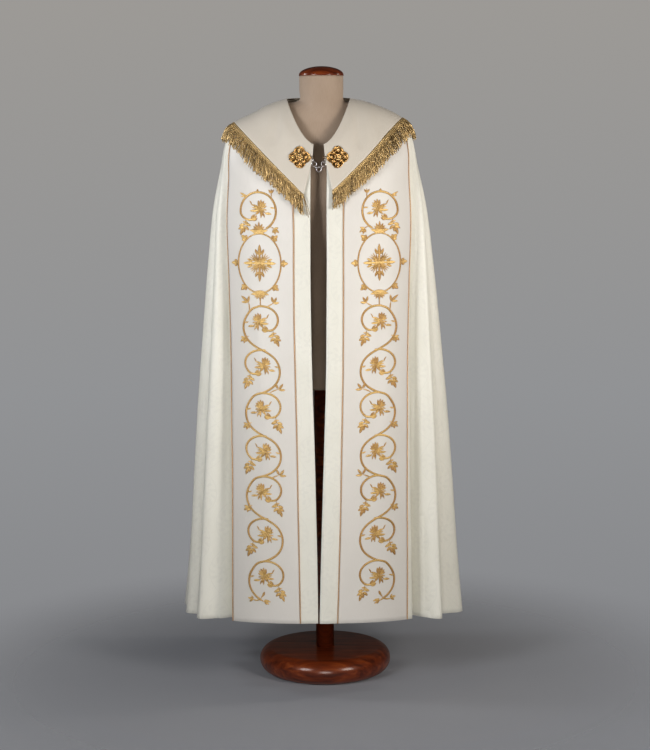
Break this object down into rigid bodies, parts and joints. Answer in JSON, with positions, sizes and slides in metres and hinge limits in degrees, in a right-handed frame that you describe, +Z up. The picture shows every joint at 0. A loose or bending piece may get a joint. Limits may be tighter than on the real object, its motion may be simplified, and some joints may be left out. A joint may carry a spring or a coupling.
{
  "type": "cope vestment on a limbless dress form",
  "caption": "Full-length cope worn open over a dress form on a round stand: folded damask body, satin bands, fringed hood and a clasp chain.",
  "frame": {"origin": "centre of the stand's flat underside, on the floor", "axes": "+Z up, the front of the garment faces -Y, +X to the right as seen from the front"},
  "size_m": [0.7703, 0.5791, 1.6611],
  "materials": {
    "damask": "cream damask with a soft tone-on-tone figure",
    "satin": "off-white satin with a low sheen",
    "gold_cord": "thin twisted copper-gold metallic cord",
    "gold_fringe": "gold metallic bullion thread",
    "gilt_brass": "cast and gilt, polished on the high points",
    "silver_steel": "polished wire",
    "linen": "plain tan linen, stretched",
    "mahogany": "dark red-brown stain under gloss varnish"
  },
  "bodies": {
    "root": {"cloak_left": "damask", "cloak_right": "damask", "orphrey_left": "satin", "orphrey_right": "satin", "piping_left_inner": "gold_cord", "piping_left_outer": "gold_cord", "piping_right_inner": "gold_cord", "piping_right_outer": "gold_cord", "hood": "satin", "fringe_left": "gold_fringe", "fringe_right": "gold_fringe", "clasp_left": "gilt_brass", "clasp_right": "gilt_brass", "clasp_eye_left": "gilt_brass", "clasp_eye_right": "gilt_brass", "chain_link_1": "silver_steel", "chain_link_2": "silver_steel", "chain_link_3": "silver_steel", "chain_link_4": "silver_steel", "chain_link_5": "silver_steel", "chain_link_6": "silver_steel", "chain_link_7": "silver_steel", "form_torso": "linen", "form_cap": "mahogany", "form_pole": "mahogany", "form_base": "mahogany"}
  },
  "joints": []
}
